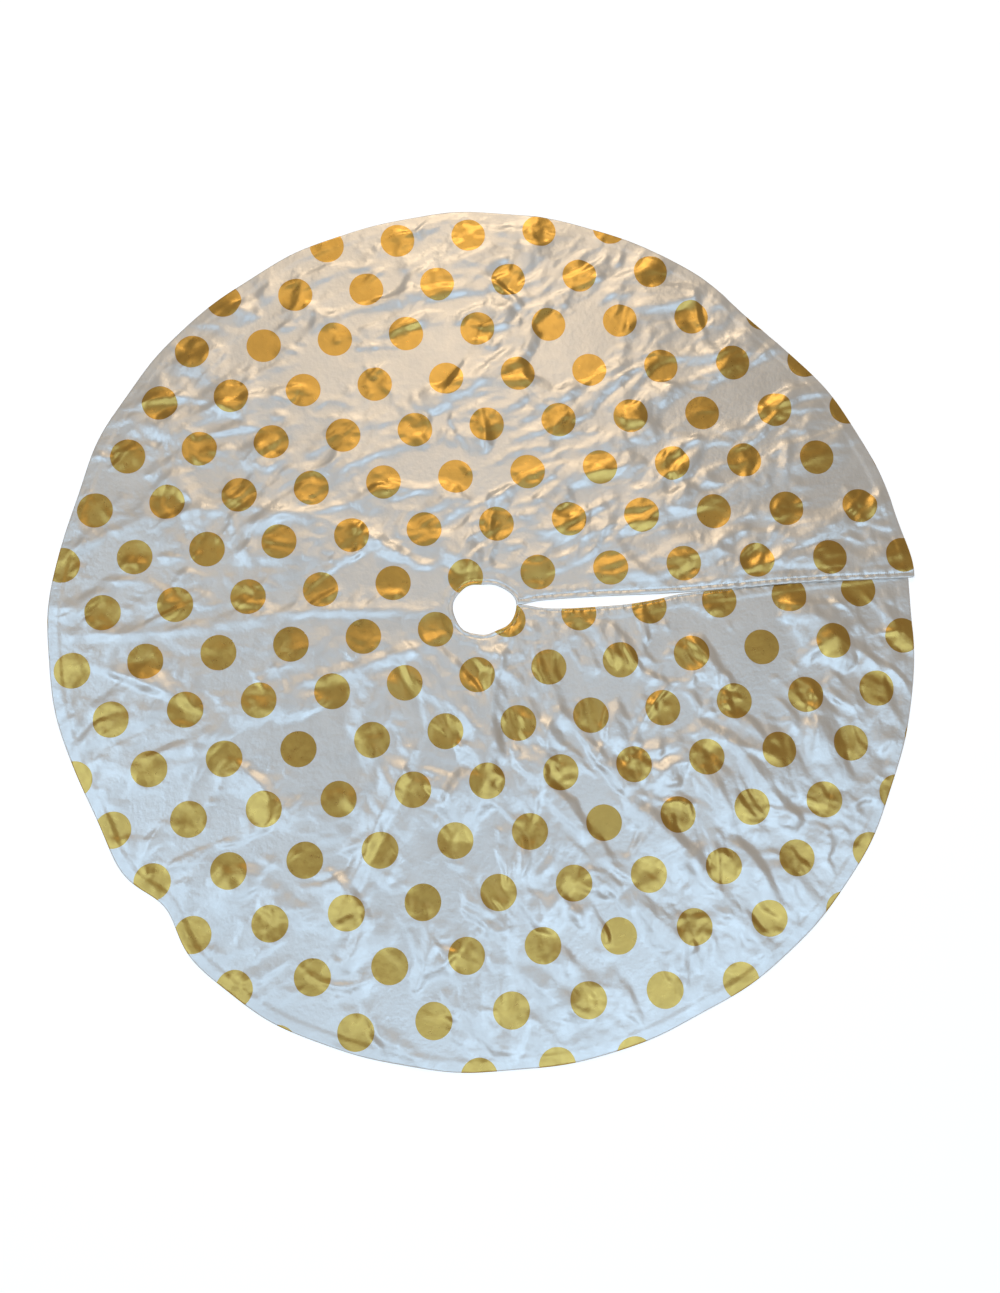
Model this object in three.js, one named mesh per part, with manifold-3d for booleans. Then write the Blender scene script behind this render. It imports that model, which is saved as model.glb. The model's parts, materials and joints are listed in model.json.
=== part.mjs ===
// Round tree skirt: a satin face and a lining, sewn right sides together, turned out and topstitched.
// It lies flat with a slit from the trunk hole to the rim, and one edge of the slit laps over the other.
// Millimetres. Origin: centre of the trunk hole on the underside. +X: along the slit. +Z: up.
// The cloths are parted where they bend: along the storage fold and along the fold line of the slit flap.

import * as THREE from "three";
import { mergeVertices } from "three/addons/utils/BufferGeometryUtils.js";
import Module from "manifold-3d";

const wasm = await Module();
wasm.setup();

// Overall sizes
const RIM_RADIUS = 609.5;
const NECK_RADIUS = 40;

// Cloth, thread and seams
const CLOTH = 0.4;
const CLEARANCE = 0.3;
const THREAD = 0.4;
const ALLOWANCE = 15;
const SEAM_INSET = 1.2;
const SLIT_STITCH_INSET = 8;
const NECK_STITCH_INSET = 6;
const THREAD_END_GAP = 1.5;

// The slit: how far each edge lies from the X axis at the neck, where it gapes, and at the rim
const UNDER_NECK_Y = -4;
const UNDER_GAP_X = 200;
const UNDER_GAP_Y = -13;
const UNDER_RIM_Y = 6;
const OVER_NECK_Y = 3;
const OVER_RIM_Y = -10;

// The two fold lines
const FOLD_MARGIN = 2;
const FLAP_ANGLE = THREE.MathUtils.degToRad(19);

// Fineness of the curves
const ARC_SEGMENTS = 28;
const THREAD_STEP = 26;
const THREAD_SIDES = 6;

// Heights of the layers, from the floor up
const LINING_TURNED_Z = CLOTH + CLEARANCE;
const SEAM_Z = LINING_TURNED_Z + CLOTH + CLEARANCE + THREAD / 2;
const FACE_TURNED_Z = SEAM_Z + THREAD / 2 + CLEARANCE;
const FACE_Z = FACE_TURNED_Z + CLOTH + CLEARANCE;
const TOPSTITCH_Z = FACE_Z + CLOTH + CLEARANCE + THREAD / 2;
const STITCHED_TOP = TOPSTITCH_Z + THREAD / 2;

const SATIN = new THREE.MeshStandardMaterial({ color: 0xd2cdc8, roughness: 0.38, metalness: 0 });
const LINING = new THREE.MeshStandardMaterial({ color: 0xd9d4cb, roughness: 0.7, metalness: 0 });
const WHITE_THREAD = new THREE.MeshStandardMaterial({ color: 0xe6e1d8, roughness: 0.6, metalness: 0 });

// ---- Lines and points in the plane of the skirt ----

// A straight line through two points, moved to its left by a distance.
function movedLine(from, to, distance = 0) {
  const along = to.clone().sub(from).normalize();
  const shift = new THREE.Vector2(-along.y, along.x).multiplyScalar(distance);
  return { start: from.clone().add(shift), along };
}

// Where two lines cross.
function meet(one, other) {
  const apart = other.start.clone().sub(one.start);
  const t = apart.cross(other.along) / one.along.cross(other.along);
  return one.start.clone().addScaledVector(one.along, t);
}

// Where a line leaves a circle round the origin, going along it.
function leave(radius, line) {
  const middle = line.start.dot(line.along);
  const offset = line.start.cross(line.along);
  const t = Math.sqrt(radius * radius - offset * offset) - middle;
  return line.start.clone().addScaledVector(line.along, t);
}

function pointAtHeight(radius, y) {
  return new THREE.Vector2(Math.sqrt(radius * radius - y * y), y);
}

const underNeck = pointAtHeight(NECK_RADIUS, UNDER_NECK_Y);
const underGap = new THREE.Vector2(UNDER_GAP_X, UNDER_GAP_Y);
const underRim = pointAtHeight(RIM_RADIUS, UNDER_RIM_Y);
const overNeck = pointAtHeight(NECK_RADIUS, OVER_NECK_Y);
const overRim = pointAtHeight(RIM_RADIUS, OVER_RIM_Y);
const foldY = OVER_RIM_Y - FOLD_MARGIN;
const flapDirection = new THREE.Vector2(Math.cos(FLAP_ANGLE), Math.sin(FLAP_ANGLE));

const underInner = (inset) => movedLine(underNeck, underGap, -inset);
const underOuter = (inset) => movedLine(underGap, underRim, -inset);
const overEdge = (inset) => movedLine(overNeck, overRim, inset);
const flapLine = (shift) => movedLine(overNeck, overNeck.clone().add(flapDirection), shift);
const foldLine = (y) => ({ start: new THREE.Vector2(0, y), along: new THREE.Vector2(-1, 0) });

// ---- Outlines: sewn edges are moved in by inset, fold lines are moved out by spare ----

function traceArc(shape, radius, from, to, clockwise) {
  shape.absarc(0, 0, radius, from.angle(), to.angle(), clockwise);
}

function frontOutline(inset, spare) {
  const rim = RIM_RADIUS - inset;
  const neck = NECK_RADIUS + inset;
  const fold = foldLine(foldY + spare);
  const shape = new THREE.Shape();
  const corner = meet(underInner(inset), underOuter(inset));
  traceArc(shape, rim, leave(rim, underOuter(inset)), leave(rim, fold), true);
  traceArc(shape, neck, leave(neck, fold), leave(neck, underInner(inset)), false);
  shape.lineTo(corner.x, corner.y);
  shape.closePath();
  return shape;
}

function backOutline(inset, spare) {
  const rim = RIM_RADIUS - inset;
  const neck = NECK_RADIUS + inset;
  const fold = foldLine(foldY - spare);
  const shape = new THREE.Shape();
  traceArc(shape, rim, leave(rim, flapLine(-spare)), leave(rim, fold), false);
  traceArc(shape, neck, leave(neck, fold), leave(neck, flapLine(-spare)), true);
  shape.closePath();
  return shape;
}

function flapOutline(inset, spare) {
  const rim = RIM_RADIUS - inset;
  const shape = new THREE.Shape();
  const corner = meet(overEdge(inset), flapLine(spare));
  traceArc(shape, rim, leave(rim, overEdge(inset)), leave(rim, flapLine(spare)), false);
  shape.lineTo(corner.x, corner.y);
  shape.closePath();
  return shape;
}

// ---- Solids ----

function slab(shape, low, high) {
  const options = { depth: high - low, bevelEnabled: false, curveSegments: ARC_SEGMENTS };
  return new THREE.ExtrudeGeometry(shape, options).translate(0, 0, low);
}

function solidOf(geometry) {
  const bare = geometry.clone();
  bare.deleteAttribute("normal");
  bare.deleteAttribute("uv");
  const merged = mergeVertices(bare, 1e-4);
  const vertProperties = merged.attributes.position.array;
  const triVerts = new Uint32Array(merged.index.array);
  return new wasm.Manifold(new wasm.Mesh({ numProp: 3, vertProperties, triVerts }));
}

function geometryOf(solid) {
  const mesh = solid.getMesh();
  const geometry = new THREE.BufferGeometry();
  geometry.setAttribute("position", new THREE.BufferAttribute(mesh.vertProperties, 3));
  geometry.setIndex(new THREE.BufferAttribute(mesh.triVerts, 1));
  geometry.computeVertexNormals();
  return geometry;
}

// One cloth of a panel: the sheet itself, turned in at each sewn edge with its allowance lying inside.
function turnedCloth(outline, sheetZ, turnedZ) {
  const low = Math.min(sheetZ, turnedZ);
  const high = Math.max(sheetZ, turnedZ) + CLOTH;
  const facesUp = sheetZ > turnedZ;
  const openLow = facesUp ? low - CLEARANCE : low + CLOTH;
  const openHigh = facesUp ? high - CLOTH : high + CLEARANCE;
  const block = solidOf(slab(outline(0, -CLEARANCE), low, high));
  const pocket = solidOf(slab(outline(CLOTH, CLEARANCE), low + CLOTH, high - CLOTH));
  const middle = solidOf(slab(outline(ALLOWANCE, CLEARANCE), openLow, openHigh));
  return geometryOf(block.subtract(pocket.add(middle)));
}

class LevelArc extends THREE.Curve {
  constructor(radius, from, to, height) {
    super();
    Object.assign(this, { radius, from, to, height });
  }

  getPoint(t) {
    const angle = THREE.MathUtils.lerp(this.from, this.to, t);
    return new THREE.Vector3(this.radius * Math.cos(angle), this.radius * Math.sin(angle), this.height);
  }
}

function levelLine(points, height) {
  const path = new THREE.CurvePath();
  const corners = points.map((p) => new THREE.Vector3(p.x, p.y, height));
  corners.slice(1).forEach((corner, i) => path.add(new THREE.LineCurve3(corners[i], corner)));
  return path;
}

function threadAlong(path) {
  const rounds = Array.from({ length: THREAD_SIDES }, (_, i) => (i / THREAD_SIDES) * 2 * Math.PI);
  const section = rounds.map((a) => new THREE.Vector2(Math.cos(a), Math.sin(a)).multiplyScalar(THREAD / 2));
  const steps = Math.max(4, Math.ceil(path.getLength() / THREAD_STEP));
  return new THREE.ExtrudeGeometry(new THREE.Shape(section), { steps, extrudePath: path });
}

function namedMesh(name, geometry, material) {
  const mesh = new THREE.Mesh(geometry, material);
  mesh.name = name;
  return mesh;
}

const face = (name, outline) => namedMesh(name, turnedCloth(outline, FACE_Z, FACE_TURNED_Z), SATIN);
const lining = (name, outline) => namedMesh(name, turnedCloth(outline, 0, LINING_TURNED_Z), LINING);
const thread = (name, path) => namedMesh(name, threadAlong(path), WHITE_THREAD);

// ---- Threads: where each row starts and ends ----

const seamRim = RIM_RADIUS - SEAM_INSET;
const seamNeck = NECK_RADIUS + SEAM_INSET;
const stitchNeck = NECK_RADIUS + NECK_STITCH_INSET;
const fullTurn = 2 * Math.PI;

// The fold line's angle where it leaves a circle, counted from the back half.
const foldAngle = (radius, side) => leave(radius, foldLine(foldY + side * CLEARANCE)).angle();

// A row along the under edge, from near the neck to near the rim.
function underRow(inset, neck, rim, height) {
  const start = leave(neck + THREAD + THREAD_END_GAP, underInner(inset));
  const corner = meet(underInner(inset), underOuter(inset));
  const end = leave(rim - THREAD - THREAD_END_GAP, underOuter(inset));
  return levelLine([start, corner, end], height);
}

// A row along the over edge, from near the flap's fold line to near the rim.
function overRow(inset, rim, height) {
  const start = meet(overEdge(inset), flapLine(-CLEARANCE - THREAD - THREAD_END_GAP));
  const end = leave(rim - THREAD - THREAD_END_GAP, overEdge(inset));
  return levelLine([start, end], height);
}

// An arc round the neck or the rim of one panel, short of the edges that it runs up to.
function arcRow(radius, from, to, height) {
  return new LevelArc(radius, from + THREAD_END_GAP / radius, to - THREAD_END_GAP / radius, height);
}

// ---- The three panels ----

function frontHalf() {
  const half = new THREE.Group();
  half.add(face("front_face", frontOutline));
  half.add(lining("front_lining", frontOutline));
  const slitEnd = (radius, line) => leave(radius, line).angle();
  const rimEnd = slitEnd(seamRim, underOuter(SEAM_INSET)) + fullTurn;
  const neckEnd = slitEnd(seamNeck, underInner(SEAM_INSET));
  const stitchEnd = slitEnd(stitchNeck, underInner(SLIT_STITCH_INSET));
  half.add(thread("front_rim_seam", arcRow(seamRim, foldAngle(seamRim, -1), rimEnd, SEAM_Z)));
  half.add(thread("front_neck_seam", arcRow(seamNeck, foldAngle(seamNeck, -1), neckEnd, SEAM_Z)));
  half.add(thread("front_slit_seam", underRow(SEAM_INSET, seamNeck, seamRim, SEAM_Z)));
  half.add(thread("front_neck_topstitch", arcRow(stitchNeck, foldAngle(stitchNeck, -1), stitchEnd, TOPSTITCH_Z)));
  half.add(thread("front_slit_topstitch", underRow(SLIT_STITCH_INSET, stitchNeck, seamRim, TOPSTITCH_Z)));
  return half;
}

function backHalf() {
  const half = new THREE.Group();
  half.add(face("back_face", backOutline));
  half.add(lining("back_lining", backOutline));
  const start = (radius) => leave(radius, flapLine(CLEARANCE)).angle();
  half.add(thread("back_rim_seam", arcRow(seamRim, start(seamRim), foldAngle(seamRim, 1), SEAM_Z)));
  half.add(thread("back_neck_seam", arcRow(seamNeck, start(seamNeck), foldAngle(seamNeck, 1), SEAM_Z)));
  const around = arcRow(stitchNeck, start(stitchNeck), foldAngle(stitchNeck, 1), TOPSTITCH_Z);
  half.add(thread("back_neck_topstitch", around));
  return half;
}

// The flap is tilted up about its fold line, just enough for its edge to pass over the under edge.
function flapTilt() {
  const crossing = meet(overEdge(0), underOuter(0));
  const reach = flapDirection.cross(overNeck.clone().sub(crossing));
  return Math.asin((STITCHED_TOP + CLEARANCE) / reach);
}

function slitFlap() {
  const panel = new THREE.Group();
  panel.position.set(-overNeck.x, -overNeck.y, 0);
  panel.add(face("flap_face", flapOutline));
  panel.add(lining("flap_lining", flapOutline));
  const rimStart = leave(seamRim, overEdge(SEAM_INSET)).angle() - fullTurn;
  const rimEnd = leave(seamRim, flapLine(-CLEARANCE)).angle();
  panel.add(thread("flap_rim_seam", arcRow(seamRim, rimStart, rimEnd, SEAM_Z)));
  panel.add(thread("flap_slit_seam", overRow(SEAM_INSET, seamRim, SEAM_Z)));
  panel.add(thread("flap_slit_topstitch", overRow(SLIT_STITCH_INSET, seamRim, TOPSTITCH_Z)));

  const tilted = new THREE.Group();
  tilted.position.set(overNeck.x, overNeck.y, 0);
  const axis = new THREE.Vector3(-flapDirection.x, -flapDirection.y, 0);
  tilted.quaternion.setFromAxisAngle(axis, flapTilt());
  tilted.add(panel);
  return tilted;
}

const skirt = new THREE.Group();
skirt.add(frontHalf());
skirt.add(backHalf());
skirt.add(slitFlap());

export default skirt;
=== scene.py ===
import json
import math

import bpy
import numpy as np
from bpy.props import FloatProperty, FloatVectorProperty, IntProperty, PointerProperty
from mathutils import Matrix, Vector
from mathutils.geometry import delaunay_2d_cdt


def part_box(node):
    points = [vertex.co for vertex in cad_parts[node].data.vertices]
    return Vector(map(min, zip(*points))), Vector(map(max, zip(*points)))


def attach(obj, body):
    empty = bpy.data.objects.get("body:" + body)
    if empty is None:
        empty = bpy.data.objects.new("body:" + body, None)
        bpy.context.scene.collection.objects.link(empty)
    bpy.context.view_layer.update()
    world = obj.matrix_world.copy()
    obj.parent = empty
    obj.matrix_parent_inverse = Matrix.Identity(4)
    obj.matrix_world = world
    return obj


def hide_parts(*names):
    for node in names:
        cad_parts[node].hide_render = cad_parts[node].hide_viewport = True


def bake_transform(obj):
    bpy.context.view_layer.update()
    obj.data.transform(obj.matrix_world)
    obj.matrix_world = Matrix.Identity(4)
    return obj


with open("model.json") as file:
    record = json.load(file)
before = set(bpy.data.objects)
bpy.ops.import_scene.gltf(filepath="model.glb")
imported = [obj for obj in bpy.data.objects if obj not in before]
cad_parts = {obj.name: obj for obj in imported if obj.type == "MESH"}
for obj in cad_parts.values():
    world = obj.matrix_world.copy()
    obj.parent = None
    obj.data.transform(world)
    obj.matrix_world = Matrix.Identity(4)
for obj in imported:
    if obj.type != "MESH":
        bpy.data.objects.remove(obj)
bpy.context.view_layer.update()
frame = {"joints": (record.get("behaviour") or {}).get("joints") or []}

bl_info = {
    "name": "Foil Dot Tree Skirt",
    "version": (1, 0, 0),
    "blender": (4, 5, 0),
    "location": "View3D > Sidebar > Tree Skirt",
    "description": "A round satin tree skirt with gold foil dots, a lining, topstitching and laid wrinkles",
    "category": "Object",
}

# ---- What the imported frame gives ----

JOINTS = {joint["name"]: joint for joint in frame["joints"]}
FOLD_Y = JOINTS["storage_fold"]["pos_m"][1]
FLAP_FOOT = np.array(JOINTS["slit_flap"]["pos_m"][:2])
FLAP_ALONG = -np.array(JOINTS["slit_flap"]["axis"][:2])
FLAP_ACROSS = np.array([-FLAP_ALONG[1], FLAP_ALONG[0]])
CUT_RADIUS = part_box("front_face")[1].x
NECK_RADIUS = float(np.hypot(*FLAP_FOOT))
FOLD_REACH = 0.014
FLAP_REACH = 0.012
STRIP_SPARE = 0.004


class SkirtSizes(bpy.types.PropertyGroup):
    dot_width: FloatProperty(
        name="Dot width", description="Diameter of a foil dot", default=0.0495, unit="LENGTH")
    dot_pitch: FloatProperty(
        name="Dot pitch", description="Distance between dots in a row", default=0.1026, unit="LENGTH")
    row_pitch: FloatProperty(
        name="Row pitch", description="Distance between rows of dots", default=0.0732, unit="LENGTH")
    mesh_step: FloatProperty(
        name="Mesh step", description="Spacing of the cloth's vertices", default=0.0031, unit="LENGTH")
    wrinkle: FloatProperty(
        name="Wrinkle", description="Multiplies the height of all wrinkles", default=1.22)
    seed: IntProperty(
        name="Seed", description="Picks one set of small wrinkles", default=11)
    thread: FloatProperty(
        name="Thread", description="Diameter of the sewing thread", default=0.00042, unit="LENGTH")
    slit_inset: FloatProperty(
        name="Slit inset", description="From the over edge to its stitches", default=0.0072, unit="LENGTH")
    under_inset: FloatProperty(
        name="Under inset", description="From the under edge to its stitches", default=0.0031, unit="LENGTH")
    neck_inset: FloatProperty(
        name="Neck inset", description="From the neck edge to its stitches", default=0.0052, unit="LENGTH")


def colour_property(name, value, about):
    return FloatVectorProperty(
        name=name, description=about, default=value, size=3, subtype="COLOR", min=0, max=1)


class SkirtColours(bpy.types.PropertyGroup):
    satin: colour_property("Satin", (0.735, 0.692, 0.628), "Off-white of the face cloth")
    lining: colour_property("Lining", (0.62, 0.59, 0.54), "Off-white of the lining")
    foil: colour_property("Foil", (0.585, 0.36, 0.078), "Gold of the printed dots")
    thread: colour_property("Thread", (0.66, 0.63, 0.58), "White of the thread")
    floor: colour_property("Floor", (0.92, 0.92, 0.92), "Pale studio floor")


def sizes():
    return bpy.context.scene.skirt_sizes


def colours():
    return bpy.context.scene.skirt_colours


# ---- The laid outline: every curve is a function of an angle or of X ----

RIM_OFFSET = (0.004, -0.014)
RIM_SPREAD = 0.9985
# Flats and bulges of the rim: middle and half width in degrees, and how far the rim moves out.
RIM_FLATS = (
    (41, 12, -0.019), (24, 7, -0.005), (-142, 5, -0.024), (-159, 9, -0.012), (66, 9, -0.005),
    (160, 7, -0.006), (-120, 14, 0.004), (-48, 14, 0.006), (-5, 14, -0.005),
)
# Ripples: waves round the circle, height, phase.
RIM_RIPPLES = ((17, 0.0009, 0), (29, 0.0006, 1))
NECK_RIPPLES = ((3, 0.0012, 1.2), (7, 0.0006, 0))
CORNER_REACH = 0.008
CORNER_DEGREES = 5
NECK_STRETCH = 0.0045
SLIT_START = 0.047
SLIT_LENGTH = 0.569
OVER_START_Y = 0.0045
OVER_DROP = 0.0148
OVER_WAVE = 0.0013
OVER_WAVE_CREST = 0.45
OVER_WAVE_LENGTH = 0.32
DIP = 0.0034
DIP_X = 0.050
DIP_WIDTH = 0.018
UNDER_EDGE = (
    (0.030, 0.0030), (0.055, 0.0020), (0.080, -0.0070), (0.121, -0.0108), (0.200, -0.0126),
    (0.245, -0.0092), (0.275, -0.0042), (0.320, -0.0036), (0.360, -0.0015), (0.480, 0.0030),
    (0.620, 0.0055),
)
UNDER_SOFTENING = 0.016
# Spacing of points along the slit, and round the neck as a share of the mesh step.
SLIT_STEP = 0.0012
NECK_STEP = 0.7


def smooth(t):
    t = np.clip(t, 0, 1)
    return t * t * (3 - 2 * t)


def bell(t):
    return np.exp(-t * t)


def rippled(radius, ripples, angle):
    for waves, height, phase in ripples:
        radius = radius + height * np.sin(waves * angle + phase)
    return radius


def rim_radius(angle, over=False):
    degrees = np.degrees(angle)
    radius = CUT_RADIUS * RIM_SPREAD + RIM_OFFSET[0] * np.cos(angle) + RIM_OFFSET[1] * np.sin(angle)
    for centre, width, depth in RIM_FLATS:
        radius = radius + depth * bell(((degrees - centre + 180) % 360 - 180) / width)
    radius = rippled(radius, RIM_RIPPLES, angle)
    if over:
        radius = radius + CORNER_REACH * bell(degrees / CORNER_DEGREES)
    return radius


def neck_radius(angle):
    return rippled(NECK_RADIUS + NECK_STRETCH * np.cos(2 * angle), NECK_RIPPLES, angle)


def over_y(x):
    share = (x - SLIT_START) / SLIT_LENGTH
    wave = OVER_WAVE * np.cos(2 * math.pi * (x - OVER_WAVE_CREST) / OVER_WAVE_LENGTH)
    return OVER_START_Y - OVER_DROP * share + wave - DIP * bell((x - DIP_X) / DIP_WIDTH)


def under_y(x):
    """The under edge, as a soft curve through its few points."""
    x = np.asarray(x, float)
    shifts = np.linspace(-UNDER_SOFTENING, UNDER_SOFTENING, 9)
    return np.mean([np.interp(x + shift, *zip(*UNDER_EDGE)) for shift in shifts], axis=0)


def crossing_x(edge, radius_of, side=1):
    """Where an edge that runs along X meets the rim or the neck."""
    x = side * CUT_RADIUS / 2
    for _ in range(30):
        y = float(edge(x))
        x = side * math.sqrt(float(radius_of(math.atan2(y, x))) ** 2 - y * y)
    return x


def fold_y(x):
    return FOLD_Y + 0 * x


def over_rim(angle):
    return rim_radius(angle, True)


def slit_edge(half):
    return under_y if half == "front" else over_y


def half_rim(half):
    return rim_radius if half == "front" else over_rim


def round_turn(half):
    """Added to an angle on the fold line, so that a sweep goes round its own half."""
    return 0 if half == "front" else 2 * math.pi


def sweep(radius_of, start, end, step):
    """Points along the rim or the neck between two angles."""
    count = max(8, int(abs(end - start) * float(radius_of(0.0)) / step))
    angle = np.linspace(start, end, count + 1)
    radius = radius_of(angle)
    return np.stack([radius * np.cos(angle), radius * np.sin(angle)], 1)


def run(edge, start, end, step):
    """Points along an edge that runs along X."""
    x = np.linspace(start, end, int(abs(end - start) / step) + 1)
    return np.stack([x, edge(x)], 1)


def angle_at(edge, x):
    return math.atan2(float(edge(x)), x)


def round_corner(points, corner, reach=3):
    for _ in range(4):
        for k in range(-reach, reach + 1):
            i = (corner + k) % len(points)
            points[i] = (points[i - 1] + 2 * points[i] + points[(i + 1) % len(points)]) / 4
    return points


def panel_outline(half, step):
    """The closed outline of the front or the back half, sewn corners slightly rounded."""
    edge, rim = slit_edge(half), half_rim(half)
    neck_x = crossing_x(edge, neck_radius)
    rim_x = crossing_x(edge, rim)
    fold_rim = crossing_x(fold_y, rim_radius, -1)
    fold_neck = crossing_x(fold_y, neck_radius, -1)
    slit = run(edge, neck_x, rim_x, SLIT_STEP)
    outer = sweep(rim, angle_at(edge, rim_x), angle_at(fold_y, fold_rim) + round_turn(half), step)
    fold = run(fold_y, fold_rim, fold_neck, step)
    inner_start = angle_at(fold_y, fold_neck) + round_turn(half)
    inner = sweep(neck_radius, inner_start, angle_at(edge, neck_x), step * NECK_STEP)
    points = np.concatenate([slit[:-1], outer[:-1], fold[:-1], inner[:-1]])
    points = round_corner(points, 0, 2)
    return round_corner(points, len(slit) - 1)


def edge_distances(half, x, y):
    """Distances to the rim, the neck and the slit of one half."""
    angle = np.arctan2(y, x)
    radius = np.hypot(x, y)
    front = half == "front"
    rim = rim_radius(angle, not front) - radius
    neck = radius - neck_radius(angle)
    slit = under_y(x) - y if front else y - over_y(x)
    slit = np.where(x > 0, slit, np.inf)
    return rim, neck, slit


# ---- Wrinkles: broad swells, laid folds, short folds and a network of creases ----

NOISE_HALF = 0.72
NOISE_GAIN = 1.6

# The largest folds of the laid skirt: start and end in metres, width to the left and to the right and
# height in millimetres, bow to the left in metres.
MAIN_FOLDS = (
    ((0.002, -0.040), (-0.050, -0.310), 24, 50, 9.5, 0.014),
    ((-0.085, -0.150), (-0.250, -0.440), 16, 26, 5.0, -0.012),
    ((-0.035, -0.022), (-0.290, -0.080), 16, 11, 3.6, 0.010),
    ((-0.040, -0.004), (-0.330, 0.020), 9, 12, 2.4, -0.006),
    ((-0.260, 0.018), (-0.600, 0.020), 10, 13, 2.6, 0.010),
    ((-0.570, -0.020), (-0.400, -0.105), 20, 12, 4.0, 0.008),
    ((-0.175, 0.140), (-0.035, 0.045), 10, 15, 3.6, -0.006),
    ((-0.210, 0.150), (-0.350, 0.200), 10, 14, 2.2, 0.010),
    ((0.085, 0.090), (0.240, 0.150), 15, 10, 3.8, 0.008),
    ((0.120, 0.085), (0.380, 0.195), 16, 24, 3.4, -0.014),
    ((0.060, 0.120), (0.150, 0.185), 10, 15, 3.0, 0.006),
    ((0.016, 0.050), (0.036, 0.175), 9, 14, 2.6, 0.005),
    ((0.180, 0.020), (0.330, 0.075), 9, 13, 2.2, 0.008),
    ((0.330, 0.010), (0.560, 0.110), 13, 20, 3.0, -0.015),
    ((0.034, -0.030), (-0.004, -0.110), 8, 13, 2.8, 0.004),
    ((0.066, -0.030), (0.076, -0.120), 8, 11, 2.2, -0.004),
    ((-0.110, -0.430), (-0.150, -0.520), 12, 16, 3.2, 0.004),
    ((0.000, -0.250), (-0.030, -0.540), 16, 26, 2.6, 0.010),
    ((0.300, -0.070), (0.520, -0.060), 13, 20, 2.4, 0.014),
    ((0.410, -0.140), (0.530, -0.070), 12, 16, 3.0, 0.010),
    ((0.180, -0.015), (0.174, -0.120), 7, 10, 2.0, 0.002),
    ((0.222, -0.020), (0.228, -0.110), 7, 11, 1.8, -0.003),
    ((-0.010, 0.310), (0.110, 0.400), 9, 13, 2.6, 0.004),
    ((-0.420, 0.300), (-0.250, 0.330), 12, 18, 2.8, 0.012),
    ((0.220, 0.250), (0.470, 0.330), 17, 25, 4.2, 0.020),
    ((0.330, 0.330), (0.460, 0.390), 15, 20, 4.0, -0.010),
    ((-0.200, 0.440), (0.060, 0.470), 12, 20, 3.2, 0.016),
)
MAIN_OVERRUN = 1.15
MAIN_BLUNT = 0.0022

# Soft folds of the front half, each with a narrow steep side on its left. Eighteen of them are places that
# another script worked out for folds of the laid skirt, moved by hand by 8 mm or less. Three are made up.
FRONT_BANDS = (
    ((0.275, -0.185), (0.332, -0.232)), ((0.328, -0.228), (0.370, -0.300)),
    ((0.366, -0.295), (0.402, -0.336)), ((0.284, -0.260), (0.303, -0.331)),
    ((0.300, -0.326), (0.355, -0.434)), ((0.160, -0.278), (0.230, -0.346)),
    ((0.224, -0.340), (0.278, -0.412)), ((0.165, -0.416), (0.228, -0.492)),
    ((0.440, -0.245), (0.456, -0.176)), ((0.208, -0.266), (0.258, -0.235)),
    ((0.172, -0.362), (0.198, -0.330)), ((0.062, -0.250), (0.110, -0.322)),
    ((0.152, -0.216), (0.164, -0.157)), ((0.018, -0.380), (0.025, -0.326)),
    ((0.062, -0.402), (0.090, -0.448)), ((-0.080, -0.272), (-0.046, -0.227)),
    ((0.070, -0.193), (0.087, -0.152)), ((0.102, -0.416), (0.126, -0.482)),
    ((-0.250, -0.330), (-0.200, -0.410)), ((-0.360, -0.180), (-0.310, -0.240)),
    ((0.480, -0.080), (0.540, -0.130)),
)
BAND_OVERRUN = 1.35
# Width to the left and to the right, height, bow and bluntness of a soft fold.
BAND_SHAPE = (0.013, 0.036, 0.0050, 0.004, 0.0018)

# Short folds: how many, then the least and most of length, width and height, then bluntness.
SHORT_FOLDS = (
    (300, (0.05, 0.18), (0.009, 0.026), (0.0010, 0.0030), 0.0014),
    (900, (0.020, 0.065), (0.005, 0.012), (0.0004, 0.0012), 0.0008),
)
SCATTER_HALF = 0.62

# Broad swells: height and cell.
SWELLS = ((0.0016, 0.24), (0.0012, 0.10))

# Where the creases turn across, and where their network stands highest.
ACROSS_Y = -0.08
ACROSS_Y_FADE = 0.16
ACROSS_X = -0.10
ACROSS_X_FADE = 0.20
MIDDLE_X = 0.26
MIDDLE_Y = -0.08
MIDDLE_REACH = 0.34

# Directions of the creases: across the back and the left, and outwards in the front.
BACK_TURN = 0.35
FRONT_TURN = -1.0
WARP = 0.015
WARP_CELL = 0.12
FOLD_TAPER = 1.3
HEIGHT_LIFT = 0.0006
FLOOR_SOFTNESS = 0.0008
MOST_HEIGHT = 0.014


def noise(x, y, cell, seed):
    """Smooth gradient noise over the plane, about -1 to 1."""
    count = int(math.ceil(2 * NOISE_HALF / cell)) + 3
    turns = np.random.default_rng(seed).random((count, count)) * 2 * math.pi
    lean_x, lean_y = np.cos(turns), np.sin(turns)
    u = np.clip((x + NOISE_HALF) / cell, 0, count - 1.001)
    v = np.clip((y + NOISE_HALF) / cell, 0, count - 1.001)
    i, j = np.floor(u).astype(int), np.floor(v).astype(int)
    u, v = u - i, v - j

    def corner(a, b):
        return lean_x[i + a, j + b] * (u - a) + lean_y[i + a, j + b] * (v - b)

    su = u ** 3 * (u * (u * 6 - 15) + 10)
    sv = v ** 3 * (v * (v * 6 - 15) + 10)
    low = corner(0, 0) * (1 - su) + corner(1, 0) * su
    high = corner(0, 1) * (1 - su) + corner(1, 1) * su
    return NOISE_GAIN * (low * (1 - sv) + high * sv)


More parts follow.
